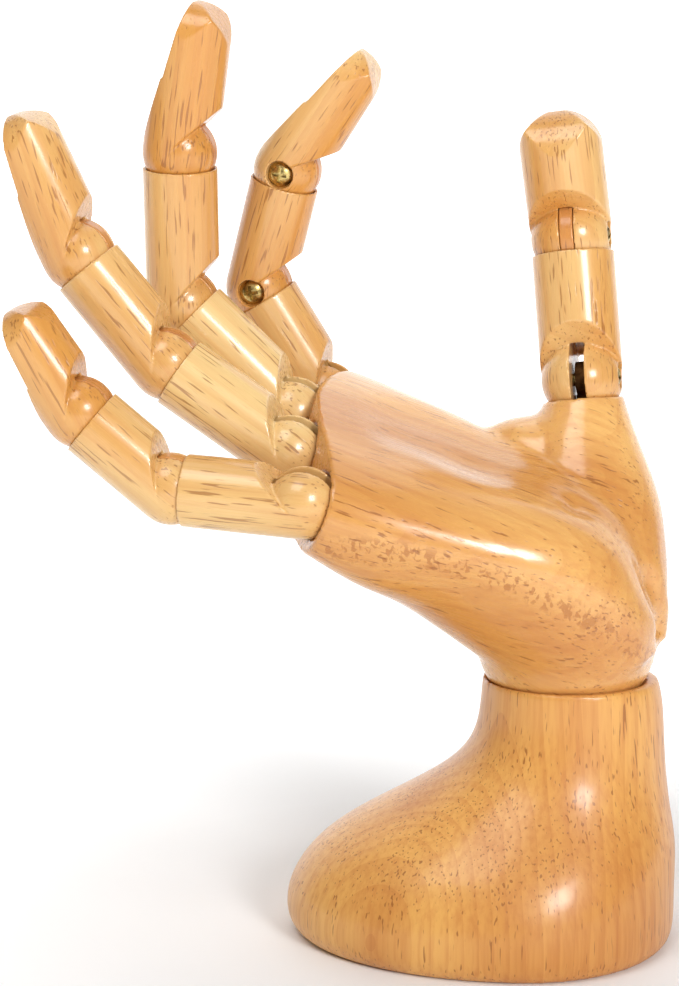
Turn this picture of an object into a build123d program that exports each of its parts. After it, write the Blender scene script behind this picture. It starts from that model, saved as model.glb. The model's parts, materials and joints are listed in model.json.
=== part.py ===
from build123d import *
import os
from math import cos, copysign, pi, radians, sin, sqrt, tan

# Articulated wooden hand, a right hand standing on a boot-shaped base.
# Row frame: origin at the middle of the base's underside, +Z up, fingers towards -X,
# palm turned up and a little towards -Y.
# All sizes in millimetres.

# ---------------------------------------------------------------- base
RIM_HEIGHT = 57.5          # top of the base
RIM_RADIUS = 18.9
CUP_CLEARANCE = 0.25
WRIST_BALL_RADIUS = 20.0
WRIST_HEIGHT = 67.0        # centre of the wrist ball
WRIST_SETBACK = 17.5       # wrist axis behind the middle of the base
# Outline of the boot, from the floor up: height, toe reach, heel reach, half width
BASE_SECTIONS = [
    (0.0, 57.5, 22.6, 34.6),
    (2.2, 60.3, 24.0, 36.4),
    (7.0, 61.5, 24.4, 37.0),
    (14.0, 59.3, 24.5, 35.8),
    (21.0, 53.2, 24.5, 32.6),
    (27.5, 42.9, 23.6, 28.0),
    (33.5, 31.6, 22.7, 24.0),
    (38.5, 24.4, 22.2, 21.7),
    (43.0, 20.8, 21.9, 20.5),
    (48.5, 19.0, 21.6, 19.6),
    (54.0, 18.4, 21.0, 19.2),
    (RIM_HEIGHT, 18.3, 20.0, 18.9),
]
WIDEST_SHARE = 0.26        # a section is widest this share of the toe's overhang ahead of the wrist

# ---------------------------------------------------------------- wrist hardware
ROD_RADIUS = 2.5
PIN_RADIUS = 2.0
PIN_HALF_LENGTH = 12.0
EYE_RADIUS = 6.0
EYE_THICKNESS = 5.4
RUNNING_GAP = 0.05         # radial gap of a pin or rod that turns in its hole
COUNTERBORE_RADIUS = 9.0
COUNTERBORE_HEIGHT = 26.0
SPRING_RADIUS = 5.5
SPRING_WIRE_RADIUS = 0.6
WASHER_TOP = 10.0
WASHER_THICKNESS = 1.0
NUT_WIDTH = 8.0
NUT_THICKNESS = 4.0
ROD_BOTTOM = 3.5
WRIST_TILT_LIMIT = 15.0

# ---------------------------------------------------------------- hand pose
HAND_TURN = -13.0          # about the vertical
HAND_ROLL = 12.0           # little-finger side down
PALM_SLOPE = 23.0          # of the knuckle end, above the horizontal

# ---------------------------------------------------------------- knuckle proportions
# All joints are the same shape, scaled by the radius of the dowel they are cut from.
BALL_SHARE = 0.995         # ball radius
RIM_DROP_SHARE = 0.40      # socket rim below the hinge
NOTCH_RISE_SHARE = 0.22    # slanted notch face at the axis
NOTCH_ANGLE = 49.0         # slope of the notch face
SOCKET_GAP = 0.2
ROOT_RIM_DROP = 3.2        # sockets in the palm
ROOT_SOCKET_GAP = 0.4      # are looser
KNUCKLE_SIDE = 46.0        # the curved knuckle line runs this far to each side
LITTLE_END_FALL = 7.5      # and falls this much past the little finger
INDEX_END_FALL = 7.5       # and this much past the index finger
KNUCKLE_CUT_REACH = 60.0
SLOT_WIDTH = 3.3
TONGUE_THICKNESS = 3.0
TONGUE_NECK_SHARE = 0.56
TONGUE_DEPTH_SHARE = 1.75
SCREW_RADIUS = 1.45
SCREW_HEAD_RADIUS = 2.8
SCREW_HEAD_HEIGHT = 1.9
HEAD_WELL_RADIUS = 3.1
HEAD_WELL_DEPTH = 2.3
SCREW_END_WALL = 1.4       # wood left past the screw's end
RECESS_WIDTH = 0.75
RECESS_SPAN = 3.3
RECESS_DEPTH = 1.1
STEEL_EYE_RADIUS = 4.0
STEEL_EYE_THICKNESS = 2.2
STEEL_SHANK_RADIUS = 1.6
STEEL_SHANK_DEPTH = 16.0

# ---------------------------------------------------------------- fingers
# root: knuckle centre in the hand frame; lengths: hinge to hinge, last to the tip;
# bend: degrees at root, middle and tip joints; head_side: +1 thumb side, -1 little-finger side
FINGERS = {
    "little": dict(root=(-50.8, -26.9, 38.3), radius=7.65, lengths=(28.3, 24.8, 25.6),
                   bend=(-18.0, 37.0, 16.0), splay=-1.5, head_side=1),
    "ring": dict(root=(-57.7, -9.0, 43.4), radius=7.9, lengths=(32.6, 29.6, 32.4),
                 bend=(13.0, 17.0, 15.0), splay=0.0, head_side=1),
    "middle": dict(root=(-61.3, 8.9, 46.5), radius=8.1, lengths=(34.4, 33.6, 32.6),
                   bend=(23.0, 47.0, 8.0), splay=0.0, head_side=1),
    "index": dict(root=(-58.3, 27.3, 45.3), radius=7.7, lengths=(29.2, 28.0, 32.0),
                  bend=(37.0, 47.0, 18.0), splay=2.0, head_side=-1),
}
FINGER_SEGMENTS = ("proximal", "middle", "distal")
FINGER_JOINTS = ("root", "middle", "tip")

THUMB_ROOT = (0.6, 30.1, 49.2)
THUMB_RADIUS = 9.2
THUMB_LENGTHS = (32.0, 28.8)
THUMB_BEND = (0.0, 18.5)
THUMB_LEAN_BACK = 18.8     # away from the fingers' hinge line, about the hand's X axis
THUMB_LEAN_LEFT = -6.2     # towards the fingers
THUMB_RIM_DROP = 4.6
THUMB_HEEL_DROP = 0.5

# ---------------------------------------------------------------- palm sections
# dorsal point (x, z), palmar point (x, z), reach to the little-finger side, reach to the
# thumb side, squareness, twist in degrees
PALM_SECTIONS = [
    ((-20.2, -1.0), (21.9, -1.0), 19.6, 19.6, 2.0, 0.0),
    ((-29.0, 4.0), (21.6, 9.0), 22.5, 22.5, 2.1, -1.5),
    ((-36.3, 10.6), (9.0, 29.0), 27.0, 26.5, 2.3, -3.5),
    ((-43.0, 17.8), (-21.4, 41.8), 32.0, 31.5, 2.6, -4.0),
    ((-52.2, 25.6), (-40.6, 48.2), 33.4, 34.5, 2.8, -3.5),
    ((-64.5, 32.6), (-55.0, 53.6), 31.2, 36.5, 2.7, -2.5),
]
# the thumb's column: centre (x, y, z), half size along x, half size along y, lean of the
# section in degrees back and left
THUMB_COLUMN = [
    ((1.3, 0.5, -1.0), 20.3, 19.0, 0.0, 0.0),
    ((3.0, 7.0, 12.0), 18.5, 17.5, 6.0, -1.0),
    ((2.6, 15.5, 25.0), 16.5, 15.0, 13.0, -4.0),
    ((0.8, 24.0, 37.5), 12.4, 11.4, 18.8, -5.5),
]
THUMB_RIM_RADIUS = 8.6

SECTION_POINTS = 16

bolt_axis = Pos(WRIST_SETBACK, 0, 0)
wrist_frame = bolt_axis * Pos(0, 0, WRIST_HEIGHT) * Rot(0, 0, HAND_TURN)
hand_frame = wrist_frame * Rot(HAND_ROLL, 0, 0)


def save(name, solid):
    """Write one piece to its STEP file."""
    solid.label = name
    export_step(solid, f"parts/{name}.step")


def superellipse(angle, low, high, left, right, squareness):
    """Point of a rounded section with its own reach in each of four directions."""
    across, along = cos(angle), sin(angle)
    share = 2.0 / squareness
    first = copysign(abs(across) ** share, across) * (high if across > 0 else low)
    second = copysign(abs(along) ** share, along) * (right if along > 0 else left)
    return first, second


def section_face(frame, low, high, left, right, squareness=2.0):
    """Closed smooth section in the XY plane of a frame."""
    angles = [2 * pi * (step + 0.5) / SECTION_POINTS for step in range(SECTION_POINTS)]
    flat = [superellipse(angle, low, high, left, right, squareness) for angle in angles]
    points = [(frame * Pos(x, y, 0)).position for x, y in flat]
    return Face(Wire([Edge.make_spline(points, periodic=True)]))


# ---------------------------------------------------------------- base and wrist
def make_base():
    """Boot-shaped block with a cup for the wrist and a counterbore for the spring."""
    faces = []
    for height, toe, heel, half_width in BASE_SECTIONS:
        ahead = WIDEST_SHARE * (toe - RIM_RADIUS)
        frame = Pos(-ahead, 0, height)
        faces.append(section_face(frame, toe - ahead, heel + ahead, half_width, half_width))
    block = loft(faces)
    cup = Pos(0, 0, WRIST_HEIGHT) * Sphere(WRIST_BALL_RADIUS + CUP_CLEARANCE)
    bore = Pos(0, 0, WRIST_HEIGHT / 2) * Cylinder(ROD_RADIUS + RUNNING_GAP, WRIST_HEIGHT)
    well = Pos(0, 0, COUNTERBORE_HEIGHT / 2) * Cylinder(COUNTERBORE_RADIUS, COUNTERBORE_HEIGHT)
    return bolt_axis * (block - cup - bore - well)


def make_wrist_bolt():
    """Eye bolt that hangs from the wrist pin and passes down through the base."""
    eye = Rot(90, 0, 0) * Cylinder(EYE_RADIUS, EYE_THICKNESS)
    top = -PIN_RADIUS - 1
    length = WRIST_HEIGHT + top - ROD_BOTTOM
    rod = Pos(0, 0, top - length / 2) * Cylinder(ROD_RADIUS, length)
    hole = Rot(90, 0, 0) * Cylinder(PIN_RADIUS + RUNNING_GAP, EYE_THICKNESS * 2)
    return wrist_frame * (eye + rod - hole)


def make_wrist_spring():
    """Open coil spring between the base's shoulder and the washer."""
    turns_height = COUNTERBORE_HEIGHT - WASHER_TOP - 2 * SPRING_WIRE_RADIUS - 0.2
    path = Helix(pitch=turns_height / 5, height=turns_height, radius=SPRING_RADIUS)
    profile = Plane(origin=path @ 0, z_dir=path % 0) * Circle(SPRING_WIRE_RADIUS)
    coil = sweep(profile, path=path)
    return bolt_axis * Pos(0, 0, WASHER_TOP + SPRING_WIRE_RADIUS + 0.1) * coil


def make_washer():
    """Flat washer under the spring."""
    ring = Cylinder(EYE_RADIUS + 1.5, WASHER_THICKNESS) - Cylinder(ROD_RADIUS + 0.1, WASHER_THICKNESS * 2)
    return bolt_axis * Pos(0, 0, WASHER_TOP - WASHER_THICKNESS / 2) * ring


def make_nut():
    """Hexagon lock nut on the bolt."""
    flat = RegularPolygon(NUT_WIDTH / 2, 6, major_radius=False)
    nut = extrude(flat, NUT_THICKNESS) - Cylinder(ROD_RADIUS, NUT_THICKNESS * 3)
    return bolt_axis * Pos(0, 0, WASHER_TOP - WASHER_THICKNESS - NUT_THICKNESS) * nut


def wrist_pin_parts():
    """Steel cross pin and the wooden plug that closes its hole on the thumb side."""
    pin = wrist_frame * Rot(90, 0, 0) * Cylinder(PIN_RADIUS, PIN_HALF_LENGTH * 2)
    plug_rod = wrist_frame * Rot(90, 0, 0) * Pos(0, 0, -PIN_HALF_LENGTH - 10) * Cylinder(PIN_RADIUS, 20)
    return pin, plug_rod


# ---------------------------------------------------------------- segments
def notch_cutter(radius, heel):
    """Everything below the slanted notch face, on the palm side."""
    rise = NOTCH_RISE_SHARE * radius
    slope = tan(radians(NOTCH_ANGLE))
    meets = (heel - rise) / slope
    reach = radius + 2
    outline = [(meets, heel), (reach, rise + slope * reach), (reach, -radius * 2), (meets, -radius * 2)]
    flat = Plane.XZ * Polygon(*outline, align=None)
    return extrude(flat, reach, both=True)


def tip_shape(radius, length):
    """Finger end: flat nail side with a carved step, round pulp, round seen from the front."""
    step_height = length - 2.0 * radius
    nail_root = -0.46 * radius
    step_depth = 0.45
    pulp_start = length - 1.08 * radius
    crown = 0.04 * radius
    top = length * 2
    out = radius + 0.02
    with BuildPart() as side:
        with BuildSketch(Plane.XZ):
            with BuildLine():
                Polyline((out, pulp_start), (out, -top), (-out, -top), (-out, 0.1 * radius),
                         (nail_root - step_depth, step_height), (nail_root, step_height + 0.1),
                         (crown - 0.8, length - 0.25))
                Bezier((crown - 0.8, length - 0.25), (crown, length + 0.12),
                       (0.62 * radius, length - 0.02 * radius), (out, pulp_start + 0.42 * radius),
                       (out, pulp_start))
            make_face()
        extrude(amount=radius * 2, both=True)
    with BuildPart() as front:
        with BuildSketch(Plane.YZ):
            with BuildLine():
                Polyline((out, length - radius), (out, -top), (-out, -top), (-out, length - radius))
                ThreePointArc((-out, length - radius), (0, length + 0.02), (out, length - radius))
            make_face()
        extrude(amount=radius * 2, both=True)
    return side.part, front.part


def segment(radius, length, thumb_root=False, last=False, head_side=1):
    """One wooden segment: X palm side, Y hinge, Z towards the fingertip, hinge at the origin."""
    ball = BALL_SHARE * radius
    seat = ball - HEAD_WELL_DEPTH
    end = ball - SCREW_END_WALL
    heel = -THUMB_HEEL_DROP if thumb_root else 0.0
    top = length if last else length - RIM_DROP_SHARE * radius
    body = Pos(0, 0, (top + heel) / 2) * Cylinder(radius, top - heel)
    if last:
        side, front = tip_shape(radius, length)
        body = body & side & front
    body = body - notch_cutter(radius, heel)
    body = body + Sphere(ball)
    # saw slot for the tongue of the segment below
    disc = Rot(90, 0, 0) * Cylinder(ball + SOCKET_GAP, SLOT_WIDTH)
    saw = Pos(-radius, 0, -0.35 * radius) * Box(2 * radius, SLOT_WIDTH, 2.0 * radius)
    body = body - disc - saw
    # hinge screw: well and clear hole in one cheek, tapped blind hole in the other
    well = Pos(0, head_side * (seat + radius), 0) * Rot(90, 0, 0) * Cylinder(HEAD_WELL_RADIUS, 2 * radius)
    near = Pos(0, head_side * radius / 2, 0) * Rot(90, 0, 0) * Cylinder(SCREW_RADIUS + RUNNING_GAP, radius)
    far = Pos(0, -head_side * end / 2, 0) * Rot(90, 0, 0) * Cylinder(SCREW_RADIUS, end)
    body = body - well - near - far
    if not last:
        body = body - Pos(0, 0, length) * Sphere(ball + SOCKET_GAP)
        body = body - Pos(0, 0, length) * tongue_neck(radius)
    return body


def tongue_neck(radius):
    """The part of a tongue that is glued into the segment below its joint."""
    depth = TONGUE_DEPTH_SHARE * radius
    width = 2 * TONGUE_NECK_SHARE * radius
    return Pos(0, 0, -depth / 2) * Box(width, TONGUE_THICKNESS, depth)


def tongue(radius):
    """Wooden disc on a neck that fills the saw slot of the joint."""
    ball = BALL_SHARE * radius
    disc = Rot(90, 0, 0) * Cylinder(ball - 0.15, TONGUE_THICKNESS)
    hole = Rot(90, 0, 0) * Cylinder(SCREW_RADIUS + RUNNING_GAP, TONGUE_THICKNESS * 2)
    return disc + tongue_neck(radius) - hole


def steel_eye():
    """Steel eye screw that holds a finger root to the palm."""
    eye = Rot(90, 0, 0) * Cylinder(STEEL_EYE_RADIUS, STEEL_EYE_THICKNESS)
    hole = Rot(90, 0, 0) * Cylinder(SCREW_RADIUS + RUNNING_GAP, STEEL_EYE_THICKNESS * 2)
    return eye + steel_shank() - hole


def steel_shank(gap=0.0):
    """Round shank below the eye, or its hole with a gap all round."""
    start = STEEL_EYE_RADIUS - 0.6
    length = STEEL_SHANK_DEPTH - start
    return Pos(0, 0, -start - length / 2) * Cylinder(STEEL_SHANK_RADIUS + gap, length + 2 * gap)


def hinge_screw(radius, head_side):
    """Pan-head screw with a cross recess, its axis on the hinge."""
    ball = BALL_SHARE * radius
    seat = ball - HEAD_WELL_DEPTH
    end = ball - SCREW_END_WALL
    shank = Pos(0, 0, (seat - end) / 2) * Cylinder(SCREW_RADIUS, seat + end)
    crown = SCREW_HEAD_RADIUS * 1.25
    sink = sqrt(crown ** 2 - SCREW_HEAD_RADIUS ** 2)
    head = Pos(0, 0, seat + SCREW_HEAD_HEIGHT / 2) * Cylinder(SCREW_HEAD_RADIUS, SCREW_HEAD_HEIGHT)
    head = head & (Pos(0, 0, seat + SCREW_HEAD_HEIGHT - crown) * Sphere(crown))
    slot = Box(RECESS_SPAN, RECESS_WIDTH, RECESS_DEPTH * 2) + Box(RECESS_WIDTH, RECESS_SPAN, RECESS_DEPTH * 2)
    head = head - Pos(0, 0, seat + SCREW_HEAD_HEIGHT) * Rot(0, 0, 25) * slot
    screw = shank + head
    return Rot(-90 * head_side, 0, 0) * screw


# ---------------------------------------------------------------- where each joint is
def finger_frames(finger):
    """Frames of a finger's three segments at rest, and the frame of its palm socket."""
    socket = hand_frame * Pos(*finger["root"]) * Rot(0, PALM_SLOPE - 90, 0) * Rot(-finger["splay"], 0, 0)
    frames = []
    frame = socket
    for bend, length in zip(finger["bend"], finger["lengths"]):
        frame = frame * Rot(0, bend, 0)
        frames.append(frame)
        frame = frame * Pos(0, 0, length)
    return socket, frames


def thumb_frames():
    """Frames of the thumb's two segments at rest, and the frame of its palm socket."""
    # palm side of the thumb faces the fingers' side of the hand, so its X axis is turned to -Y
    socket = hand_frame * Pos(*THUMB_ROOT) * Rot(0, THUMB_LEAN_LEFT, 0) * Rot(-THUMB_LEAN_BACK, 0, 0)
    socket = socket * Rot(0, 0, -90)
    first = socket * Rot(0, THUMB_BEND[0], 0)
    second = first * Pos(0, 0, THUMB_LENGTHS[0]) * Rot(0, THUMB_BEND[1], 0)
    return socket, [first, second]


# ---------------------------------------------------------------- palm
def palm_body():
    """Outer shape of the palm, without its sockets."""
    faces = []
    for dorsal, palmar, little_side, thumb_side, squareness, twist in PALM_SECTIONS:
        middle = ((dorsal[0] + palmar[0]) / 2, 0, (dorsal[1] + palmar[1]) / 2)
        across = Vector(palmar[0] - dorsal[0], 0, palmar[1] - dorsal[1])
        half = across.length / 2
        plane = Plane(origin=middle, x_dir=across, z_dir=across.cross(Vector(0, 1, 0)))
        frame = plane.location * Rot(0, 0, twist)
        faces.append(section_face(frame, half, half, little_side, thumb_side, squareness))
    slab = loft(faces[:3]) + loft(faces[2:])
    faces = []
    for middle, half_x, half_y, back, left in THUMB_COLUMN:
        frame = Pos(*middle) * Rot(0, left, 0) * Rot(-back, 0, 0)
        faces.append(section_face(frame, half_x, half_x, half_y, half_y))
    rim = Pos(*THUMB_ROOT) * Rot(0, THUMB_LEAN_LEFT, 0) * Rot(-THUMB_LEAN_BACK, 0, 0)
    rim = rim * Pos(0, 0, -THUMB_RIM_DROP)
    faces.append(section_face(rim, *[THUMB_RIM_RADIUS] * 4))
    column = loft(faces)
    return slab + column + Sphere(WRIST_BALL_RADIUS)


def knuckle_cutter():
    """Everything past the curved line through the finger roots."""
    lean = radians(PALM_SLOPE)
    line = []
    for finger in FINGERS.values():
        x, y, z = finger["root"]
        line.append((y, z * sin(lean) - x * cos(lean) - ROOT_RIM_DROP))
    first = (-KNUCKLE_SIDE, line[0][1] - LITTLE_END_FALL)
    last = (KNUCKLE_SIDE, line[-1][1] - INDEX_END_FALL)
    far = line[-1][1] + KNUCKLE_CUT_REACH
    with BuildPart() as cutter:
        with BuildSketch(Plane.YZ):
            with BuildLine():
                Spline(first, *line, last)
                Polyline(last, (KNUCKLE_SIDE, far), (-KNUCKLE_SIDE, far), first)
            make_face()
        extrude(amount=KNUCKLE_CUT_REACH, both=True)
    return Rot(0, PALM_SLOPE - 90, 0) * cutter.part


def make_palm(pin, plug_rod):
    """Palm block with four finger sockets, the thumb socket and the wrist slot."""
    palm = hand_frame * (palm_body() - knuckle_cutter())
    for finger in FINGERS.values():
        socket, _ = finger_frames(finger)
        palm = palm - socket * Sphere(BALL_SHARE * finger["radius"] + ROOT_SOCKET_GAP)
        palm = palm - socket * steel_shank()
    socket, _ = thumb_frames()
    palm = palm - socket * Sphere(BALL_SHARE * THUMB_RADIUS + SOCKET_GAP)
    palm = palm - socket * steel_shank(RUNNING_GAP)
    # slot for the wrist eye bolt, wide enough for the tilt
    slot_gap = 0.4
    eye_room = Rot(90, 0, 0) * Cylinder(EYE_RADIUS + 1, EYE_THICKNESS + slot_gap)
    spread = WRIST_TILT_LIMIT + 1.5
    depth = WRIST_BALL_RADIUS + 8
    start, end = ROD_RADIUS + 0.6, ROD_RADIUS + 0.6 + depth * tan(radians(spread))
    fan = Plane.XZ * Polygon((-start, 0), (start, 0), (end, -depth), (-end, -depth), align=None)
    fan = extrude(fan, (EYE_THICKNESS + slot_gap) / 2, both=True)
    palm = palm - wrist_frame * (eye_room + fan)
    palm = palm.solids().sort_by(SortBy.VOLUME)[-1]
    plug = plug_rod & palm
    return palm - pin - plug_rod, plug


def main():
    """Build every piece and write it."""
    os.makedirs("parts", exist_ok=True)
    save("forearm_base", make_base())
    save("wrist_eye_bolt", make_wrist_bolt())
    save("wrist_spring", make_wrist_spring())
    save("wrist_washer", make_washer())
    save("wrist_lock_nut", make_nut())
    pin, plug_rod = wrist_pin_parts()
    palm, plug = make_palm(pin, plug_rod)
    save("palm_block", palm)
    save("wrist_cross_pin", pin)
    save("wrist_pin_plug", plug)

    for name, finger in FINGERS.items():
        socket, frames = finger_frames(finger)
        radius, side = finger["radius"], finger["head_side"]
        save(f"{name}_root_eye", socket * steel_eye())
        for index, (frame, length) in enumerate(zip(frames, finger["lengths"])):
            piece = segment(radius, length, last=index == 2, head_side=side)
            save(f"{name}_{FINGER_SEGMENTS[index]}", frame * piece)
            save(f"{name}_{FINGER_JOINTS[index]}_screw", frame * hinge_screw(radius, side))
            if index < 2:
                joint = frame * Pos(0, 0, length)
                save(f"{name}_{FINGER_JOINTS[index + 1]}_tongue", joint * tongue(radius))

    socket, frames = thumb_frames()
    save("thumb_root_eye", socket * steel_eye())
    first = segment(THUMB_RADIUS, THUMB_LENGTHS[0], thumb_root=True)
    second = segment(THUMB_RADIUS, THUMB_LENGTHS[1], last=True)
    save("thumb_proximal", frames[0] * first)
    save("thumb_distal", frames[1] * second)
    save("thumb_root_screw", frames[0] * hinge_screw(THUMB_RADIUS, 1))
    save("thumb_tip_screw", frames[1] * hinge_screw(THUMB_RADIUS, 1))
    save("thumb_tip_tongue", frames[0] * Pos(0, 0, THUMB_LENGTHS[0]) * tongue(THUMB_RADIUS))


main()
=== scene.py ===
"""Looks of an articulated wooden hand that stands on a boot-shaped beech base.

The turned and sawn finger segments, their tongues and the hardware are the frame's own
pieces, eased at their edges and dressed here. The palm is carved here as one blended form.
All lengths are metres in the row frame unless a name says millimetres.
"""

import json
import logging
from dataclasses import dataclass, field
from enum import Enum
from math import copysign, cos, pi, radians, sin

import bpy
import numpy as np
from mathutils import Matrix, Vector


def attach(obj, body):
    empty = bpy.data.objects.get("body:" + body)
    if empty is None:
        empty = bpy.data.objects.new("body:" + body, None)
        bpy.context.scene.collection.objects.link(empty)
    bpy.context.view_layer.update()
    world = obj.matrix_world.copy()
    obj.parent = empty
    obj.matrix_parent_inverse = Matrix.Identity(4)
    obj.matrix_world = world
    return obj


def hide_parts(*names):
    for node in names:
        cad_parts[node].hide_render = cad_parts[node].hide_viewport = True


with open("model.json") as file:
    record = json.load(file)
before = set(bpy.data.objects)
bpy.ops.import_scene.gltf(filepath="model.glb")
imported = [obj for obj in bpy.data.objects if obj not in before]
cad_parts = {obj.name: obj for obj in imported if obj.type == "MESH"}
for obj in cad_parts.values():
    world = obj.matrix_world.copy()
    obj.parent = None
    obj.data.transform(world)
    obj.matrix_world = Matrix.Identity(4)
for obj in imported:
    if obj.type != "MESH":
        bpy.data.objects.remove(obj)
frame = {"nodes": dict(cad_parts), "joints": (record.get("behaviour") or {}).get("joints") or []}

LOG = logging.getLogger("hand")
MM = 0.001
BLACK = (0.0, 0.0, 0.0, 1.0)
Colour = tuple[float, float, float, float]
Place = tuple[float, float, float]
Socket = bpy.types.NodeSocket


def tint(red: int, green: int, blue: int) -> Colour:
    """Turn a display colour of 0 to 255 a channel into a linear shader colour."""

    def linear(value: float) -> float:
        """Linear strength of one display channel."""
        return value / 12.92 if value <= 0.04045 else ((value + 0.055) / 1.055) ** 2.4

    return (linear(red / 255), linear(green / 255), linear(blue / 255), 1.0)


# ---------------------------------------------------------------------------- node graphs
class Graph:
    """A material's node tree, with short ways to add the nodes that the finishes use."""

    def __init__(self, name: str) -> None:
        """Start an empty material of that name.

        Args:
            name: the material's name.
        """
        self.material = bpy.data.materials.new(name)
        self.material.use_nodes = True
        self.tree = self.material.node_tree
        self.tree.nodes.clear()

    def node(self, kind: str, **settings: object) -> bpy.types.Node:
        """Add one node.

        Args:
            kind: the node's type name without its ShaderNode prefix.
            settings: attributes to set on the node.

        Returns:
            The new node.
        """
        made = self.tree.nodes.new("ShaderNode" + kind)
        for key, value in settings.items():
            setattr(made, key, value)
        return made

    def feed(self, socket: Socket, value: object) -> None:
        """Link a socket into an input, or set the input to a constant.

        Args:
            socket: the input.
            value: an output socket, a number or a tuple.
        """
        if isinstance(value, Socket):
            self.tree.links.new(value, socket)
        else:
            socket.default_value = value

    def maths(
        self, operation: str, first: object, second: object = 0.0, clamp: bool = False
    ) -> Socket:
        """Combine two values with one Math node.

        Args:
            operation: the Math node's operation.
            first: the first value or socket.
            second: the second value or socket.
            clamp: whether the result is held between 0 and 1.

        Returns:
            The result's socket.
        """
        made = self.node("Math", operation=operation, use_clamp=clamp)
        self.feed(made.inputs[0], first)
        self.feed(made.inputs[1], second)
        return made.outputs[0]

    def placed(
        self, vector: object, turn: Matrix | None = None, scale: Place = (1, 1, 1), shift: Place = (0, 0, 0)
    ) -> Socket:
        """Scale, turn and shift coordinates with a Mapping node.

        Args:
            vector: the coordinates' socket.
            turn: the rotation, or None for none.
            scale: the scale along each axis.
            shift: the offset added last.

        Returns:
            The new coordinates' socket.
        """
        made = self.node("Mapping")
        self.feed(made.inputs["Vector"], vector)
        made.inputs["Scale"].default_value = scale
        made.inputs["Location"].default_value = shift
        if turn is not None:
            made.inputs["Rotation"].default_value = turn.to_3x3().to_euler("XYZ")
        return made.outputs[0]

    def noise(
        self, vector: object, scale: float = 1.0, detail: float = 2.0, rough: float = 0.5, twist: float = 0.0
    ) -> Socket:
        """Add a noise texture.

        Args:
            vector: the coordinates' socket.
            scale: the noise's scale.
            detail: how many finer octaves it has.
            rough: how strong those octaves are.
            twist: how much it distorts itself.

        Returns:
            The noise's value, from 0 to 1.
        """
        made = self.node("TexNoise")
        self.feed(made.inputs["Vector"], vector)
        for key, value in (("Scale", scale), ("Detail", detail), ("Roughness", rough), ("Distortion", twist)):
            made.inputs[key].default_value = value
        return made.outputs[0]

    def span(
        self, value: object, low: float, high: float, to_low: float = 0.0, to_high: float = 1.0
    ) -> Socket:
        """Map a value smoothly from one span to another, held at both ends.

        Args:
            value: the socket to map.
            low: where the span starts.
            high: where the span ends.
            to_low: the result at low.
            to_high: the result at high.

        Returns:
            The mapped value's socket.
        """
        made = self.node("MapRange", interpolation_type="SMOOTHSTEP", clamp=True)
        for key, number in enumerate((value, low, high, to_low, to_high)):
            self.feed(made.inputs[key], number)
        return made.outputs[0]

    def mix(self, share: object, first: object, second: object, way: str = "MIX") -> Socket:
        """Mix two colours.

        Args:
            share: how much of the second, from 0 to 1.
            first: the first colour.
            second: the second colour.
            way: the blend type.

        Returns:
            The mixed colour's socket.
        """
        made = self.node("Mix", data_type="RGBA", blend_type=way)
        self.feed(made.inputs[0], share)
        self.feed(made.inputs[6], first)
        self.feed(made.inputs[7], second)
        return made.outputs[2]

    def bump(
        self, height: object, distance: float, strength: float = 1.0, after: object = None
    ) -> Socket:
        """Turn a height into a normal.

        Args:
            height: the height's socket, from 0 to 1.
            distance: how high 1 is, in metres.
            strength: how much of it shows.
            after: the normal of an earlier bump to add it to.

        Returns:
            The normal's socket.
        """
        made = self.node("Bump")
        made.inputs["Strength"].default_value = strength
        made.inputs["Distance"].default_value = distance
        self.feed(made.inputs["Height"], height)
        if after is not None:
            self.feed(made.inputs["Normal"], after)
        return made.outputs[0]

    def close(self, colour: object, rough: object, normal: object, **constants: float) -> bpy.types.Material:
        """Add the surface shader and the output.

        Args:
            colour: the base colour.
            rough: the roughness.
            normal: the normal's socket.
            constants: the shader's other inputs, with spaces written as underscores.

        Returns:
            The finished material.
        """
        shader = self.node("BsdfPrincipled")
        self.feed(shader.inputs["Base Color"], colour)
        self.feed(shader.inputs["Roughness"], rough)
        self.feed(shader.inputs["Normal"], normal)
        for key, value in constants.items():
            shader.inputs[key.replace("_", " ")].default_value = value
        output = self.node("OutputMaterial")
        self.tree.links.new(shader.outputs[0], output.inputs[0])
        return self.material


# ---------------------------------------------------------------------------- finishes
class RayBand(Enum):
    """Whether the wood shows a band of lacy ray figure along the palm's outer edge."""

    NONE = 0
    EDGE = 1


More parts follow.
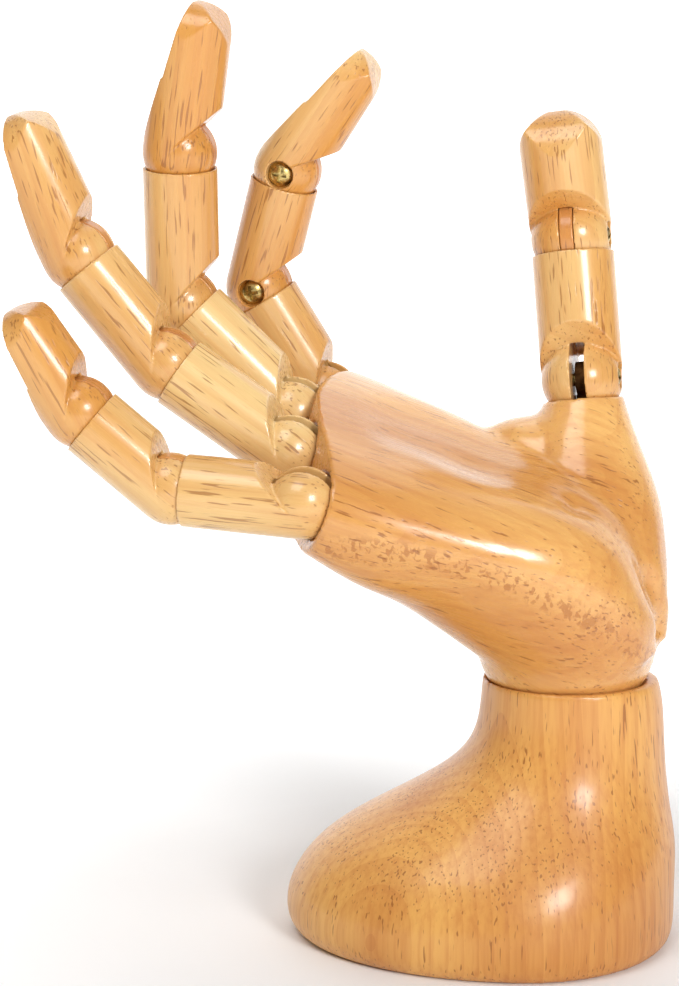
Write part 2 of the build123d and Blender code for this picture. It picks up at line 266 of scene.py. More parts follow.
@dataclass(frozen=True)
class Beech:
    """Clear-lacquered beech, its grain along the local Z axis."""

    name: str
    pale: Colour
    warm: Colour
    fleck: Colour
    ring_width: float = 3.2 * MM
    ring_show: float = 0.16
    pith: tuple[float, float] = (0.034, 0.012)
    fleck_show: float = 0.6
    fleck_level: float = 0.63
    roughness: float = 0.27
    coat: float = 0.4
    coat_roughness: float = 0.13
    streak_show: float = 0.16
    lace_tone: Colour = tint(172, 104, 38)
    # how fine each pattern is across the grain, across the grain and along it, per metre
    broad_grain: Place = (38, 38, 9)
    streak_grain: Place = (900, 900, 24)
    wobble_grain: Place = (45, 45, 14)
    dash_grain: Place = (2000, 2000, 130)
    crowd_grain: Place = (110, 110, 40)
    ragged_grain: Place = (160, 160, 60)
    spot_grain: Place = (900, 900, 640)
    # the lace's line: its height at the origin, its fall and how much it steepens
    lace_line: Place = (0.0838, 0.38, 5.75)
    lace_core: float = 2.8 * MM
    lace_reach: float = 6.2 * MM
    lace_ragged: float = 4 * MM
    lace_front: tuple[float, float] = (-12 * MM, -4 * MM)
    pore_depth: float = 0.06 * MM
    lacquer_swell: float = 0.5 * MM
    ray_band: RayBand = RayBand.NONE

    def material(self, piece: str, local: Matrix, seed: float, warmth: float = 0.5) -> bpy.types.Material:
        """Build the wood for one piece.

        Args:
            piece: the piece's name.
            local: the matrix from the row frame to the piece's own grain frame.
            seed: a number that makes this piece's wood its own.
            warmth: how much of the piece is the warm colour, from 0 to 1.

        Returns:
            The material.
        """
        graph = Graph(f"{self.name}_{piece}")
        own = graph.node("TexCoord").outputs["Object"]
        shift = tuple(local.translation + Vector((0.013 * sin(seed), 0.017 * cos(3 * seed), 0.11 * seed)))
        grain = graph.placed(own, local, shift=shift)
        ring = self.rings(graph, grain)
        broad = graph.noise(graph.placed(grain, scale=self.broad_grain), detail=2.0)
        streak = graph.noise(graph.placed(grain, scale=self.streak_grain), detail=3.0, rough=0.6)
        level = 0.5 + 0.45 * (0.5 - warmth)
        colour = graph.mix(graph.span(broad, level - 0.2, level + 0.2), self.pale, self.warm)
        colour = graph.mix(graph.maths("MULTIPLY", ring, self.ring_show), colour, self.warm, "MULTIPLY")
        dark_streak = graph.span(streak, 0.35, 0.75, 0.0, self.streak_show)
        colour = graph.mix(dark_streak, colour, self.warm, "MULTIPLY")
        flecks = self.flecks(graph, grain)
        height = graph.maths("MULTIPLY", flecks, -1.0)
        if self.ray_band is RayBand.EDGE:
            lace = self.lace(graph, own, grain)
            colour = graph.mix(lace, colour, self.lace_tone)
            height = graph.maths("SUBTRACT", height, lace)
        colour = graph.mix(graph.maths("MULTIPLY", flecks, self.fleck_show), colour, self.fleck)
        pores = graph.bump(height, self.pore_depth, 0.5)
        lacquer = graph.noise(own, 140.0, detail=1.0)
        normal = graph.bump(lacquer, self.lacquer_swell, 0.12, pores)
        rough = graph.span(streak, 0.2, 0.8, self.roughness - 0.05, self.roughness + 0.08)
        coat = {"Coat_Weight": self.coat, "Coat_Roughness": self.coat_roughness}
        return graph.close(colour, rough, normal, IOR=1.5, **coat)

    def rings(self, graph: Graph, grain: Socket) -> Socket:
        """Growth rings round a pith outside the piece.

        Args:
            graph: the material's graph.
            grain: the grain coordinates.

        Returns:
            How much of a ring's dark line shows, from 0 to 1.
        """
        wobble = graph.noise(graph.placed(grain, scale=self.wobble_grain), detail=1.5)
        parts = graph.node("SeparateXYZ")
        graph.feed(parts.inputs[0], grain)
        across = graph.maths("SUBTRACT", parts.outputs[0], self.pith[0])
        along = graph.maths("SUBTRACT", parts.outputs[1], self.pith[1])
        across, along = (graph.maths("MULTIPLY", way, way) for way in (across, along))
        reach = graph.maths("SQRT", graph.maths("ADD", across, along))
        reach = graph.maths("ADD", reach, graph.maths("MULTIPLY", wobble, 2.2 * self.ring_width))
        turns = graph.maths("FRACT", graph.maths("DIVIDE", reach, self.ring_width))
        return graph.maths("POWER", turns, 2.5)

    def flecks(self, graph: Graph, grain: Socket) -> Socket:
        """Short dark pore dashes along the grain.

        Args:
            graph: the material's graph.
            grain: the grain coordinates.

        Returns:
            How much fleck shows, from 0 to 1.
        """
        dash = graph.noise(graph.placed(grain, scale=self.dash_grain), detail=0.6)
        crowd = graph.noise(graph.placed(grain, scale=self.crowd_grain, shift=(3, 1, 7)), detail=1.0)
        level = graph.span(crowd, 0.3, 0.7, self.fleck_level + 0.07, self.fleck_level - 0.01)
        over = graph.maths("SUBTRACT", dash, level)
        return graph.maths("MULTIPLY", over, 16.0, clamp=True)

    def lace(self, graph: Graph, own: Socket, grain: Socket) -> Socket:
        """Lacy spots of the wood's rays in a band along the little-finger edge.

        Args:
            graph: the material's graph.
            own: the object coordinates.
            grain: the grain coordinates.

        Returns:
            How much of the spots shows, from 0 to 1.
        """
        parts = graph.node("SeparateXYZ")
        graph.feed(parts.inputs[0], own)
        x, y, z = parts.outputs
        # the band's line falls towards the wrist and steepens as it goes
        height, fall, steepen = self.lace_line
        line = graph.maths("SUBTRACT", height, graph.maths("MULTIPLY", x, fall))
        line = graph.maths("SUBTRACT", line, graph.maths("MULTIPLY", graph.maths("MULTIPLY", x, x), steepen))
        off = graph.maths("ABSOLUTE", graph.maths("SUBTRACT", z, line))
        ragged = graph.noise(graph.placed(grain, scale=self.ragged_grain), detail=3.0)
        off = graph.maths("ADD", off, graph.maths("MULTIPLY", ragged, self.lace_ragged))
        mask = graph.span(off, self.lace_core, self.lace_reach, 1.0, 0.0)
        front = graph.span(y, *self.lace_front, 1.0, 0.0)
        mask = graph.maths("MULTIPLY", mask, front)
        spots = graph.noise(graph.placed(own, scale=self.spot_grain), detail=1.5, twist=0.7)
        crowd = graph.noise(graph.placed(own, scale=(150, 150, 150)), detail=1.0)
        level = graph.span(crowd, 0.3, 0.7, 0.57, 0.47)
        over = graph.maths("SUBTRACT", spots, level)
        lines = graph.maths("MULTIPLY", graph.maths("MULTIPLY", over, 14.0, clamp=True), 0.7)
        return graph.maths("MULTIPLY", lines, mask)


@dataclass(frozen=True)
class Metal:
    """Turned or plated metal with fine marks and slight tarnish."""

    name: str
    bright: Colour
    dull: Colour
    roughness: float
    scale: float = 900.0

    def material(self) -> bpy.types.Material:
        """Build the metal.

        Returns:
            The material.
        """
        graph = Graph(self.name)
        own = graph.node("TexCoord").outputs["Object"]
        tarnish = graph.noise(own, self.scale * 0.4, detail=4.0, rough=0.65)
        marks = graph.noise(graph.placed(own, scale=(self.scale, self.scale * 4, self.scale)), detail=3.0)
        colour = graph.mix(graph.span(tarnish, 0.4, 0.7), self.bright, self.dull)
        rough = graph.span(marks, 0.3, 0.7, self.roughness - 0.06, self.roughness + 0.12)
        normal = graph.bump(marks, 0.00002, 0.4)
        return graph.close(colour, rough, normal, Metallic=1.0)


FINGER_WOOD = Beech(
    "finger_beech",
    pale=tint(234, 200, 138),
    warm=tint(212, 150, 72),
    fleck=tint(138, 74, 18),
    fleck_level=0.61,
)
PALM_WOOD = Beech(
    "palm_beech",
    pale=tint(234, 182, 108),
    warm=tint(208, 144, 72),
    fleck=tint(142, 78, 20),
    fleck_level=0.64,
    fleck_show=0.7,
    streak_show=0.26,
    coat=0.55,
    coat_roughness=0.14,
    pith=(0.06, 0.09),
    ray_band=RayBand.EDGE,
)
BASE_WOOD = Beech(
    "base_beech",
    pale=tint(232, 176, 94),
    warm=tint(208, 142, 66),
    fleck=tint(146, 82, 22),
    fleck_level=0.625,
    fleck_show=0.75,
    streak_show=0.3,
    roughness=0.4,
    coat=0.3,
    coat_roughness=0.18,
    ring_show=0.22,
    ring_width=3.4 * MM,
    pith=(-0.025, -0.03),
)
TONGUE_WOOD = Beech(
    "tongue_beech",
    pale=tint(216, 156, 88),
    warm=tint(196, 128, 64),
    fleck=tint(120, 66, 26),
    coat=0.25,
)
# where in the wood each piece is cut from, so that no two pieces match
BASE_SEED = 0.4
PALM_SEED = 1.7
PLUG_SEED = 2.9
LITTLE_SEED = 0.7
SEED_STEP = 3.1
THUMB_SEED = 17.3
BRASS = Metal("screw_brass", tint(208, 184, 120), tint(110, 86, 44), 0.3)
# the eye's steel is coloured dark brown as painted shade of the slot it sits in, so its colour is partly
# steel and partly painted shade
EYE_STEEL_SLOT_SHADE = Metal("eye_steel", tint(104, 76, 46), tint(60, 40, 22), 0.75)
PAPER = tint(244, 244, 244)
BOLT_STEEL = Metal("bolt_steel", tint(182, 182, 180), tint(128, 126, 122), 0.34)


# ---------------------------------------------------------------------------- frame helpers
@dataclass(frozen=True)
class Hinge:
    """A joint of the frame: where its axis is."""

    place: Vector
    axis: Vector

    @classmethod
    def of(cls, name: str) -> "Hinge":
        """Find a joint of the frame.

        Args:
            name: the joint's name.

        Returns:
            The joint's place and axis.
        """
        joint = next(j for j in frame["joints"] if j["name"] == name)
        return cls(Vector(joint["pos_m"]), Vector(joint["axis"]).normalized())

    def grain_of(self, node: str) -> Matrix:
        """Grain frame of a piece that hangs from this hinge.

        Args:
            node: the piece's CAD node.

        Returns:
            The matrix from the row frame to a frame with Z along the piece and Y on the hinge.
        """
        mesh = frame["nodes"][node].data
        places = np.empty(len(mesh.vertices) * 3)
        mesh.vertices.foreach_get("co", places)
        places = places.reshape(-1, 3)
        middle = Vector((places.min(axis=0) + places.max(axis=0)) / 2)
        along = middle - self.place
        along = (along - self.axis * along.dot(self.axis)).normalized()
        across = self.axis.cross(along)
        turned = Matrix((across, self.axis, along)).to_4x4()
        return turned @ Matrix.Translation(-self.place)


def dress(node: str, material: bpy.types.Material) -> None:
    """Put one material on a CAD node.

    Args:
        node: the CAD node.
        material: the material.
    """
    slots = frame["nodes"][node].material_slots
    for slot in slots:
        slot.link = "OBJECT"
        slot.material = material


def ease(node: str, cell: float, passes: int) -> None:
    """Round a CAD node's sawn edges a little, as sanding does.

    Args:
        node: the CAD node.
        cell: the remesh cell, about the size of the rounding.
        passes: how often the surface is smoothed.
    """
    piece = frame["nodes"][node]
    remesh = piece.modifiers.new("ease_cells", "REMESH")
    remesh.mode = "VOXEL"
    remesh.voxel_size = cell
    remesh.use_smooth_shade = True
    smooth = piece.modifiers.new("ease_smooth", "SMOOTH")
    smooth.factor = 0.5
    smooth.iterations = passes


# ---------------------------------------------------------------------------- sub-assemblies
@dataclass
class Stand:
    """The boot-shaped base with the bolt, spring, washer and nut inside it."""

    cell: float = 0.75 * MM
    passes: int = 3
    steel_nodes: tuple[str, ...] = ("wrist_eye_bolt", "wrist_spring", "wrist_washer", "wrist_lock_nut")

    def build(self) -> None:
        """Ease the base's edges and dress the base and its hardware."""
        ease("forearm_base", self.cell, self.passes)
        dress("forearm_base", BASE_WOOD.material("forearm_base", Matrix.Identity(4), BASE_SEED))
        steel = BOLT_STEEL.material()
        for node in self.steel_nodes:
            dress(node, steel)
        LOG.info("base and wrist hardware dressed")


@dataclass
class Finger:
    """One finger of three sawn segments on hinge screws."""

    name: str
    seed: float
    warmth: tuple[float, ...]
    segments: tuple[str, ...] = ("proximal", "middle", "distal")
    joints: tuple[str, ...] = ("root", "middle", "tip")
    cell: float = 0.28 * MM
    passes: int = 1

    def build(self, brass: bpy.types.Material, steel: bpy.types.Material) -> None:
        """Ease and dress the finger's wood, screws and eye.

        Args:
            brass: the screws' material.
            steel: the eye's material, coloured dark brown as painted shade of its slot.
        """
        for index, (segment, joint) in enumerate(zip(self.segments, self.joints)):
            node = f"{self.name}_{segment}"
            hinge = Hinge.of(f"{self.name}_{joint}_bend")
            ease(node, self.cell, self.passes)
            wood = FINGER_WOOD.material(node, hinge.grain_of(node), self.seed + index, self.warmth[index])
            dress(node, wood)
            dress(f"{self.name}_{joint}_screw", brass)
            if index:
                tongue = f"{self.name}_{joint}_tongue"
                ease(tongue, self.cell, 1)
                dress(tongue, TONGUE_WOOD.material(tongue, hinge.grain_of(tongue), self.seed * 2 + index))
        dress(f"{self.name}_root_eye", steel)
        LOG.info("%s dressed", self.name)


@dataclass
class Thumb(Finger):
    """The thumb: two segments on hinge screws."""

    segments: tuple[str, ...] = ("proximal", "distal")
    joints: tuple[str, ...] = ("root", "tip")


@dataclass
class Palm:
    """The palm block, carved from one piece of beech with five sockets."""

    turn: float = -13.0
    roll: float = 12.0
    slope: float = 23.0
    points: int = 72
    steps: int = 7
    ball: float = 20.0
    socket_share: float = 0.995
    root_gap: float = 0.4
    thumb_gap: float = 0.2
    rim_drop: float = 3.2
    knuckle_side: float = 46.0
    little_fall: float = 7.5
    index_fall: float = 7.5
    cut_reach: float = 60.0
    thumb_rim_drop: float = 4.6
    thumb_place: Place = (0.6, 30.1, 49.2)
    thumb_radius: float = 9.2
    thumb_back: float = 18.8
    thumb_left: float = -6.2
    thumb_rim: float = 9.0
    # dorsal point, palmar point (x, z), reach to each side, squareness, twist
    slab_sections: tuple = (
        ((-21.2, -2.0), (22.4, -2.0), 19.6, 19.6, 2.0, 0.0),
        ((-29.0, 4.0), (21.6, 9.0), 22.5, 22.5, 2.1, -1.5),
        ((-36.3, 10.6), (9.0, 29.0), 27.0, 26.5, 2.3, -3.5),
        ((-43.0, 17.8), (-21.4, 41.8), 32.0, 31.5, 2.6, -4.0),
        ((-52.2, 25.6), (-40.6, 48.2), 33.4, 34.5, 2.8, -3.5),
        ((-64.5, 32.6), (-55.0, 53.6), 31.2, 36.5, 2.7, -2.5),
    )
    # centre, half size along x and y, lean back and left
    thumb_sections: tuple = (
        ((1.3, 0.5, -1.0), 20.3, 19.0, 0.0, 0.0),
        ((3.0, 7.0, 12.0), 18.5, 17.5, 6.0, -1.0),
        ((2.6, 15.5, 25.0), 16.5, 15.0, 13.0, -4.0),
        ((0.8, 24.0, 37.5), 12.4, 11.4, 18.8, -5.5),
    )
    web_place: Place = (-9.0, 22.0, 33.4)
    web_size: Place = (15.0, 11.0, 9.0)
    # line, reach to each side, depth
    valleys: tuple = (
        (
            (
                (-37, -5, 41),
                (-21.5, -5, 37),
                (-10.5, -5, 32.5),
                (1, -5, 28),
                (8.5, -5, 21),
                (16, -5, 12),
                (20, -5, 3),
            ),
            10.0,
            1.5,
        ),
        (((1, -4, 28), (8.5, -3, 21), (16, -2, 12), (20.5, -1, 2)), 6.0, 3.4),
        (((-34, 6, 41), (-20, 4, 37)), 17.0, 1.8),
    )
    # the eye shank's bore below each socket
    shank_bore: float = 3.3
    shank_bore_length: float = 12.8
    shank_bore_drop: float = 9.8
    # the slot that the wrist's eye leans in, and the cross pin's bore
    eye_room: float = 14.2
    eye_slot: float = 5.9
    pin_bore: float = 4.2
    pin_bore_length: float = 34.2
    pin_bore_shift: float = 5.0
    lean_slot: Place = (6.6, 5.8, 28.0)
    leans: tuple[float, ...] = (-16.5, -8.0, 0.0, 8.0, 16.5)
    thumb_clear: Place = (25.0, 25.0, 30.0)
    # remesh cells: while blending and when finished
    blend_cell: float = 0.9 * MM
    final_cell: float = 0.62 * MM
    # root hinge, dowel radius, splay
    finger_roots: dict = field(
        default_factory=lambda: {
            "little": ((-50.8, -26.9, 38.3), 7.65, -1.5),
            "ring": ((-57.7, -9.0, 43.4), 7.9, 0.0),
            "middle": ((-61.3, 8.9, 46.5), 8.1, 0.0),
            "index": ((-58.3, 27.3, 45.3), 7.7, 2.0),
        }
    )

    def wrist_frame(self) -> Matrix:
        """Frame of the wrist ball, turned with the hand, in millimetres."""
        centre = Hinge.of("wrist_swivel").place / MM
        return Matrix.Translation(centre) @ Matrix.Rotation(radians(self.turn), 4, "Z")

    def hand_frame(self) -> Matrix:
        """Frame of the hand, rolled about the forearm's front-to-back line."""
        return self.wrist_frame() @ Matrix.Rotation(radians(self.roll), 4, "X")

    def ring(
        self, place: Matrix, low: float, high: float, sides: tuple[float, float], squareness: float
    ) -> np.ndarray:
        """Closed section with its own reach in each direction.

        Args:
            place: the section's frame.
            low: the reach towards -X.
            high: the reach towards +X.
            sides: the reach towards -Y and +Y.
            squareness: 2 for an ellipse, more for a squarer section.

        Returns:
            The section's points.
        """
        found = []
        for step in range(self.points):
            angle = 2 * pi * step / self.points
            across, along = cos(angle), sin(angle)
            first = copysign(abs(across) ** (2 / squareness), across) * (high if across > 0 else low)
            second = copysign(abs(along) ** (2 / squareness), along) * (sides[1] if along > 0 else sides[0])
            found.append(place @ Vector((first, second, 0)))
        return np.array(found)

    def smooth_run(self, stops: list[np.ndarray]) -> list[np.ndarray]:
        """Run a smooth curve through stops, which are points or whole sections.

        Args:
            stops: the stops, in order.

        Returns:
            The stops with more between them.
        """
        padded = [2 * stops[0] - stops[1], *stops, 2 * stops[-1] - stops[-2]]
        run = []
        for start in range(len(stops) - 1):
            p0, p1, p2, p3 = padded[start : start + 4]
            for step in range(self.steps):
                t = step / self.steps
                cubic = -p0 + 3 * p1 - 3 * p2 + p3
                square = 2 * p0 - 5 * p1 + 4 * p2 - p3
                run.append(0.5 * (2 * p1 + (p2 - p0) * t + square * t**2 + cubic * t**3))
        return [*run, stops[-1]]

    def closed(self, name: str, points: np.ndarray, faces: list[tuple[int, ...]]) -> bpy.types.Object:
        """Make a closed mesh.

        Args:
            name: the new object's name.
            points: its points, in millimetres.
            faces: its faces.

        Returns:
            The object.
        """
        mesh = bpy.data.meshes.new(name)
        mesh.from_pydata([tuple(p * MM) for p in points], [], faces)
        made = bpy.data.objects.new(name, mesh)
        bpy.context.scene.collection.objects.link(made)
        return made

    def loft(self, name: str, rings: list[np.ndarray]) -> bpy.types.Object:
        """Skin smoothly over sections.

        Args:
            name: the new object's name.
            rings: the sections, each with the same number of points.

        Returns:
            The closed mesh.
        """
        curve = self.smooth_run(rings)
        count = self.points
        faces = [tuple(range(count))[::-1]]
        for row in range(len(curve) - 1):
            for step in range(count):
                after = (step + 1) % count
                below, above = row * count, (row + 1) * count
                faces.append((below + step, below + after, above + after, above + step))
        last = (len(curve) - 1) * count
        faces.append(tuple(range(last, last + count)))
        return self.closed(name, np.concatenate(curve), faces)

    def slab(self) -> bpy.types.Object:
        """The flat of the hand, from the wrist to past the knuckles."""
        rings = []
        for dorsal, palmar, little_side, thumb_side, squareness, twist in self.slab_sections:
            start, end = Vector((dorsal[0], 0, dorsal[1])), Vector((palmar[0], 0, palmar[1]))
            across = (end - start).normalized()
            out = across.cross(Vector((0, 1, 0)))
            basis = Matrix((across, out.cross(across), out)).transposed().to_4x4()
            place = self.hand_frame() @ Matrix.Translation((start + end) / 2) @ basis
            place = place @ Matrix.Rotation(radians(twist), 4, "Z")
            half = (end - start).length / 2
            rings.append(self.ring(place, half, half, (little_side, thumb_side), squareness))
        return self.loft("slab", rings)

    def leaning(self, place: tuple, back: float, left: float) -> Matrix:
        """Frame on the thumb's column.

        Args:
            place: its origin in the hand frame.
            back: its lean away from the fingers' hinge line, in degrees.
            left: its lean towards the fingers, in degrees.

        Returns:
            The frame.
        """
        leaned = Matrix.Rotation(radians(left), 4, "Y") @ Matrix.Rotation(radians(-back), 4, "X")
        return self.hand_frame() @ Matrix.Translation(place) @ leaned

    def column(self) -> bpy.types.Object:
        """The thumb's mound, from the wrist to past the thumb socket's rim."""
        rings = []
        for place, half_x, half_y, back, left in self.thumb_sections:
            rings.append(self.ring(self.leaning(place, back, left), half_x, half_x, (half_y, half_y), 2.0))
        socket = self.leaning(self.thumb_place, self.thumb_back, self.thumb_left)
        for rise in (-self.thumb_rim_drop, 0.0):
            place = socket @ Matrix.Translation((0, 0, rise))
            rings.append(self.ring(place, self.thumb_rim, self.thumb_rim, (self.thumb_rim,) * 2, 2.0))
        return self.loft("thumb_column", rings)

    def settle(self, piece: bpy.types.Object, kind: str, **settings: object) -> None:
        """Add one modifier to the piece and apply it.

        Args:
            piece: the object.
            kind: the modifier's type.
            settings: the modifier's attributes.
        """
        modifier = piece.modifiers.new(kind.lower(), kind)
        for key, value in settings.items():
            setattr(modifier, key, value)
        bpy.ops.object.select_all(action="DESELECT")
        piece.select_set(True)
        bpy.context.view_layer.objects.active = piece
        bpy.ops.object.modifier_apply(modifier=modifier.name)

    def subtract(self, piece: bpy.types.Object, cutter: bpy.types.Object) -> None:
        """Cut one object away from another and remove the cutter.

        Args:
            piece: the object that is cut.
            cutter: the object that cuts it.
        """
        self.settle(piece, "BOOLEAN", operation="DIFFERENCE", object=cutter, solver="MANIFOLD")
        bpy.data.objects.remove(cutter)

    def knuckle_cutter(self) -> bpy.types.Object:
        """Everything past the curved line through the finger roots."""
        lean = radians(self.slope)
        line = []
        for (x, y, z), _, _ in self.finger_roots.values():
            line.append(np.array((y, z * sin(lean) - x * cos(lean) - self.rim_drop)))
        first = np.array((-self.knuckle_side, line[0][1] - self.little_fall))
        last = np.array((self.knuckle_side, line[-1][1] - self.index_fall))
        outline = self.smooth_run([first, *line, last])
        far = line[-1][1] + self.cut_reach
        outline += [np.array((self.knuckle_side, far)), np.array((-self.knuckle_side, far))]
        place = self.hand_frame() @ Matrix.Rotation(radians(self.slope - 90), 4, "Y")
        count = len(outline)
        reach = self.cut_reach
        points = [place @ Vector((side, y, z)) for side in (-reach, reach) for y, z in outline]
        faces = [tuple(range(count))[::-1], tuple(range(count, 2 * count))]
        for step in range(count):
            after = (step + 1) % count
            faces.append((step, after, count + after, count + step))
        return self.closed("knuckle_cutter", np.array(points), faces)

    def cut(self, piece: bpy.types.Object, shape: str, place: Matrix, size: Place) -> None:
        """Cut a simple shape away.

        Args:
            piece: the object that is cut.
            shape: "cube", "ball" or "rod", with the rod along Z.
            place: the cutter's frame, in millimetres.
            size: the cutter's full size, in millimetres.
        """
        bpy.ops.object.select_all(action="DESELECT")
        if shape == "cube":
            bpy.ops.mesh.primitive_cube_add(size=1)
        elif shape == "ball":
            bpy.ops.mesh.primitive_uv_sphere_add(segments=96, ring_count=48, radius=0.5)
        else:
            bpy.ops.mesh.primitive_cylinder_add(vertices=48, radius=0.5, depth=1)
        cutter = bpy.context.active_object
        sized = Matrix.Diagonal((*size, 1))
        cutter.data.transform(Matrix.Scale(MM, 4) @ place @ sized)
        self.subtract(piece, cutter)

    def carve(self, piece: bpy.types.Object, path: tuple, width: float, depth: float) -> None:
        """Press a smooth valley into the surface, or raise a ridge where depth is negative.

        Args:
            piece: the object.
            path: the valley's line, in the hand frame, in millimetres.
            width: how far the valley reaches to each side.
            depth: how deep it is in the middle.
        """
        mesh = piece.data
        count = len(mesh.vertices)
        places, normals = np.empty(count * 3), np.empty(count * 3)
        mesh.vertices.foreach_get("co", places)
        mesh.vertex_normals.foreach_get("vector", normals)
        places, normals = places.reshape(-1, 3), normals.reshape(-1, 3)
        line = np.array([self.hand_frame() @ Vector(p) for p in path]) * MM
        nearest = np.full(count, 1e9)
        for start, end in zip(line[:-1], line[1:]):
            span = end - start
            share = np.clip(((places - start) @ span) / (span @ span), 0, 1)
            off = np.linalg.norm(places - start - share[:, None] * span, axis=1)
            nearest = np.minimum(nearest, off)
        falloff = np.clip(1 - (nearest / (width * MM)) ** 2, 0, 1) ** 2
        places -= normals * (falloff * depth * MM)[:, None]
        mesh.vertices.foreach_set("co", places.ravel())
        mesh.update()

    def blank(self) -> bpy.types.Object:
        """Slab, thumb mound and wrist ball blended into one skin."""
        slab, column = self.slab(), self.column()
        bpy.ops.object.select_all(action="DESELECT")
        bpy.ops.mesh.primitive_uv_sphere_add(segments=72, ring_count=36, radius=self.ball * MM)
        ball = bpy.context.active_object
        ball.data.transform(Matrix.Translation(Hinge.of("wrist_swivel").place))
        bpy.ops.mesh.primitive_uv_sphere_add(segments=48, ring_count=24, radius=1)
        web = bpy.context.active_object
        web_size = Matrix.Diagonal((*self.web_size, 1))
        web_place = self.hand_frame() @ Matrix.Translation(self.web_place) @ web_size
        web.data.transform(Matrix.Scale(MM, 4) @ web_place)
        for part in (slab, column, ball, web):
            part.select_set(True)
        bpy.context.view_layer.objects.active = slab
        bpy.ops.object.join()
        self.settle(slab, "REMESH", mode="VOXEL", voxel_size=self.blend_cell)
        self.settle(slab, "SMOOTH", factor=0.5, iterations=8)
        for path, width, depth in self.valleys:
            self.carve(slab, path, width, depth)
        self.settle(slab, "SMOOTH", factor=0.5, iterations=9)
        return slab

    def open_sockets(self, piece: bpy.types.Object) -> None:
        """Cut the knuckle ends, the five sockets and the wrist's slot and holes.

        Args:
            piece: the palm.
        """
        self.subtract(piece, self.knuckle_cutter())
        for root, radius, splay in self.finger_roots.values():
            socket = self.hand_frame() @ Matrix.Translation(root)
            socket = socket @ Matrix.Rotation(radians(self.slope - 90), 4, "Y")
            socket = socket @ Matrix.Rotation(radians(-splay), 4, "X")
            across = 2 * (self.socket_share * radius + self.root_gap)
            self.cut(piece, "ball", socket, (across,) * 3)
            self.bore_shank(piece, socket)
        thumb = self.leaning(self.thumb_place, self.thumb_back, self.thumb_left)
        clear_rise = self.thumb_clear[2] / 2 - self.thumb_rim_drop
        self.cut(piece, "cube", thumb @ Matrix.Translation((0, 0, clear_rise)), self.thumb_clear)
        across = 2 * (self.socket_share * self.thumb_radius + self.thumb_gap)
        self.cut(piece, "ball", thumb, (across,) * 3)
        self.bore_shank(piece, thumb)
        wrist = self.wrist_frame()
        crosswise = wrist @ Matrix.Rotation(radians(90), 4, "X")
        self.cut(piece, "rod", crosswise, (self.eye_room, self.eye_room, self.eye_slot))
        pin_place = crosswise @ Matrix.Translation((0, 0, -self.pin_bore_shift))
        self.cut(piece, "rod", pin_place, (self.pin_bore, self.pin_bore, self.pin_bore_length))
        for tilt in self.leans:
            leaned = wrist @ Matrix.Rotation(radians(tilt), 4, "Y")
            leaned = leaned @ Matrix.Translation((0, 0, -self.lean_slot[2] / 2))
            self.cut(piece, "cube", leaned, self.lean_slot)

    def bore_shank(self, piece: bpy.types.Object, socket: Matrix) -> None:
        """Bore the hole for an eye's shank below its socket.

        Args:
            piece: the palm.
            socket: the socket's frame.
        """
        place = socket @ Matrix.Translation((0, 0, -self.shank_bore_drop))
        self.cut(piece, "rod", place, (self.shank_bore, self.shank_bore, self.shank_bore_length))

    def build(self) -> bpy.types.Object:
        """Carve the palm, dress it and hand it to the frame.

        Returns:
            The palm.
        """
        piece = self.blank()
        self.open_sockets(piece)
        self.settle(piece, "REMESH", mode="VOXEL", voxel_size=self.final_cell)
        self.settle(piece, "SMOOTH", factor=0.5, iterations=2)
        piece.name = "palm_carved"
        piece.data.name = "palm_carved"
        bpy.ops.object.shade_smooth()
        piece.data.materials.clear()
        along = Vector((-1.0, 0.0, 0.34)).normalized()
        side = Vector((0, 1, 0))
        turned = Matrix((side.cross(along), side, along)).to_4x4()
        local = turned @ self.hand_frame().to_3x3().transposed().to_4x4()
        piece.data.materials.append(PALM_WOOD.material("palm_carved", local, PALM_SEED))
        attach(piece, "palm")
        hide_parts("palm_block")
        LOG.info("palm carved, %d faces", len(piece.data.polygons))
        return piece


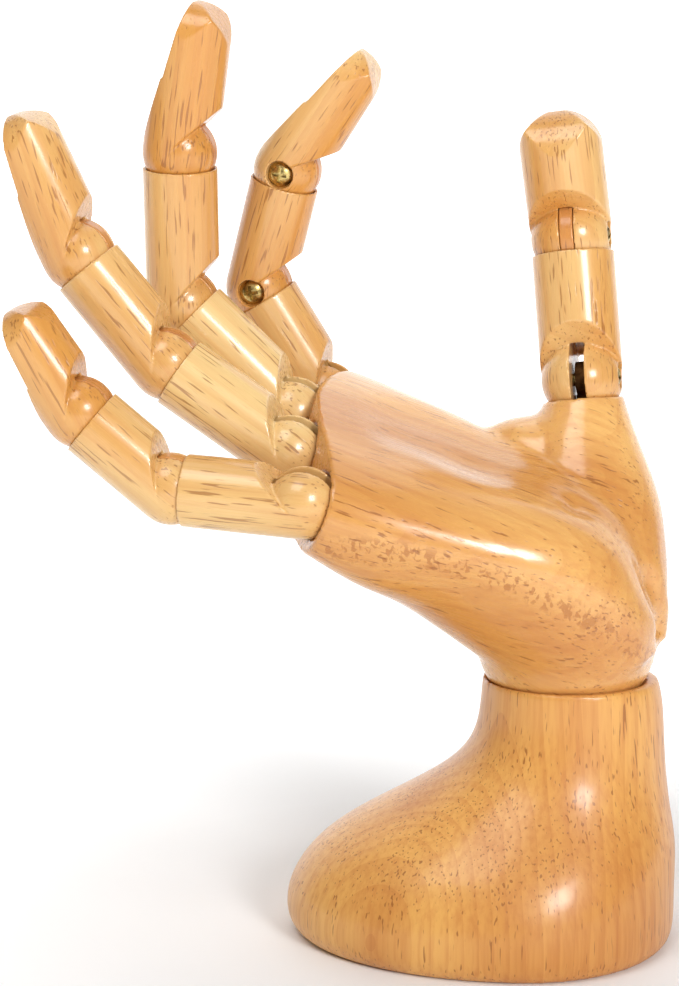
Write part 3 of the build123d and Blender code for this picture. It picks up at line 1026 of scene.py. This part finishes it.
@dataclass
class Studio:
    """Floor, backdrop, lights and camera."""

    floor_size: float = 6.0
    wall_distance: float = 1.6
    target: Place = (-0.02, 0.0, 0.11)
    camera_place: Place = (-0.0323, -0.436, 0.156)
    camera_pitch: float = 7.58
    lens: float = 73.75
    sensor: float = 36.0
    world_strength: float = 0.2
    floor_glow: float = 0.55
    wall_glow: float = 0.9
    # the floor's glow is off within this reach of the object and fades in beyond it, which paints shade on
    # the floor round the object's foot
    contact_shade_reach: float = 0.05
    # place, size, watts
    lamps: tuple = (
        ((0.4, -0.84, 0.45), 0.26, 6.0),
        ((-0.3, -0.4, 0.85), 0.45, 2.8),
        ((0.05, 0.3, 0.95), 0.6, 1.2),
    )

    def plain(self, name: str, colour: Colour, glow: float, painted_shade_within: float = 0.0) -> bpy.types.Material:
        """A matt paper surface that gives off a little light.

        Args:
            name: the material's name.
            colour: its colour.
            glow: how much light it gives off.
            painted_shade_within: it gives off none within this distance of the object, in metres.

        Returns:
            The material.
        """
        graph = Graph(name)
        own = graph.node("TexCoord").outputs["Object"]
        fibre = graph.noise(own, 60.0, detail=3.0)
        normal = graph.bump(fibre, 0.0002, 0.05)
        made = graph.close(colour, 0.9, normal, Emission_Strength=glow)
        shader = next(n for n in made.node_tree.nodes if n.type == "BSDF_PRINCIPLED")
        distance = graph.node("VectorMath", operation="LENGTH")
        graph.feed(distance.inputs[0], own)
        # no glow near the object, fading in further out: painted shade on the floor round its foot
        share = graph.span(distance.outputs["Value"], painted_shade_within, 5.0 * painted_shade_within + 0.001)
        graph.feed(shader.inputs["Emission Color"], graph.mix(share, BLACK, colour))
        return made

    def build(self) -> None:
        """Set the stage round the object."""
        bpy.ops.object.select_all(action="DESELECT")
        bpy.ops.mesh.primitive_plane_add(size=self.floor_size)
        floor = bpy.context.active_object
        floor.name = "floor"
        floor.data.materials.append(self.plain("floor_paper", PAPER, self.floor_glow, self.contact_shade_reach))
        wall_place = {"location": (0, self.wall_distance, 0), "rotation": (radians(90), 0, 0)}
        bpy.ops.mesh.primitive_plane_add(size=self.floor_size, **wall_place)
        wall = bpy.context.active_object
        wall.name = "wall"
        wall.data.materials.append(self.plain("wall_paper", PAPER, self.wall_glow))
        world = bpy.data.worlds.new("studio")
        bpy.context.scene.world = world
        world.use_nodes = True
        world.node_tree.nodes["Background"].inputs[0].default_value = (1.0, 1.0, 1.0, 1.0)
        world.node_tree.nodes["Background"].inputs[1].default_value = self.world_strength
        for index, (place, size, watts) in enumerate(self.lamps):
            data = bpy.data.lights.new(f"softbox_{index}", "AREA")
            data.shape, data.size, data.energy = "SQUARE", size, watts
            lamp = bpy.data.objects.new(f"softbox_{index}", data)
            lamp.location = place
            lamp.rotation_euler = (Vector(self.target) - Vector(place)).to_track_quat("-Z", "Y").to_euler()
            bpy.context.scene.collection.objects.link(lamp)
        data = bpy.data.cameras.new("camera")
        data.lens, data.sensor_width = self.lens, self.sensor
        camera = bpy.data.objects.new("camera", data)
        camera.location = self.camera_place
        camera.rotation_euler = (radians(90 - self.camera_pitch), 0.0, 0.0)
        bpy.context.scene.collection.objects.link(camera)
        bpy.context.scene.camera = camera
        bpy.context.scene.view_settings.view_transform = "Standard"
        LOG.info("studio set")


def main() -> None:
    """Build the sub-assemblies in order."""
    logging.basicConfig(level=logging.INFO, format="%(message)s")
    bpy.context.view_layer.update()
    Stand().build()
    Palm().build()
    crosswise = Matrix.Rotation(radians(90), 4, "X")
    dress("wrist_pin_plug", PALM_WOOD.material("wrist_pin_plug", crosswise, PLUG_SEED))
    dress("wrist_cross_pin", BOLT_STEEL.material())
    # the eyes' material carries painted shade of their slots
    brass, steel = BRASS.material(), EYE_STEEL_SLOT_SHADE.material()
    # how warm each segment's wood is, from the root to the tip
    digits = (
        Finger("little", LITTLE_SEED, (0.5, 0.5, 0.8)),
        Finger("ring", LITTLE_SEED + SEED_STEP, (0.1, 0.3, 0.5)),
        Finger("middle", LITTLE_SEED + 2 * SEED_STEP, (0.1, 0.5, 0.7)),
        Finger("index", LITTLE_SEED + 3 * SEED_STEP, (0.6, 0.75, 0.6)),
        Thumb("thumb", THUMB_SEED, (0.65, 0.5)),
    )
    for digit in digits:
        digit.build(brass, steel)
    Studio().build()


if __name__ == "__main__":
    main()
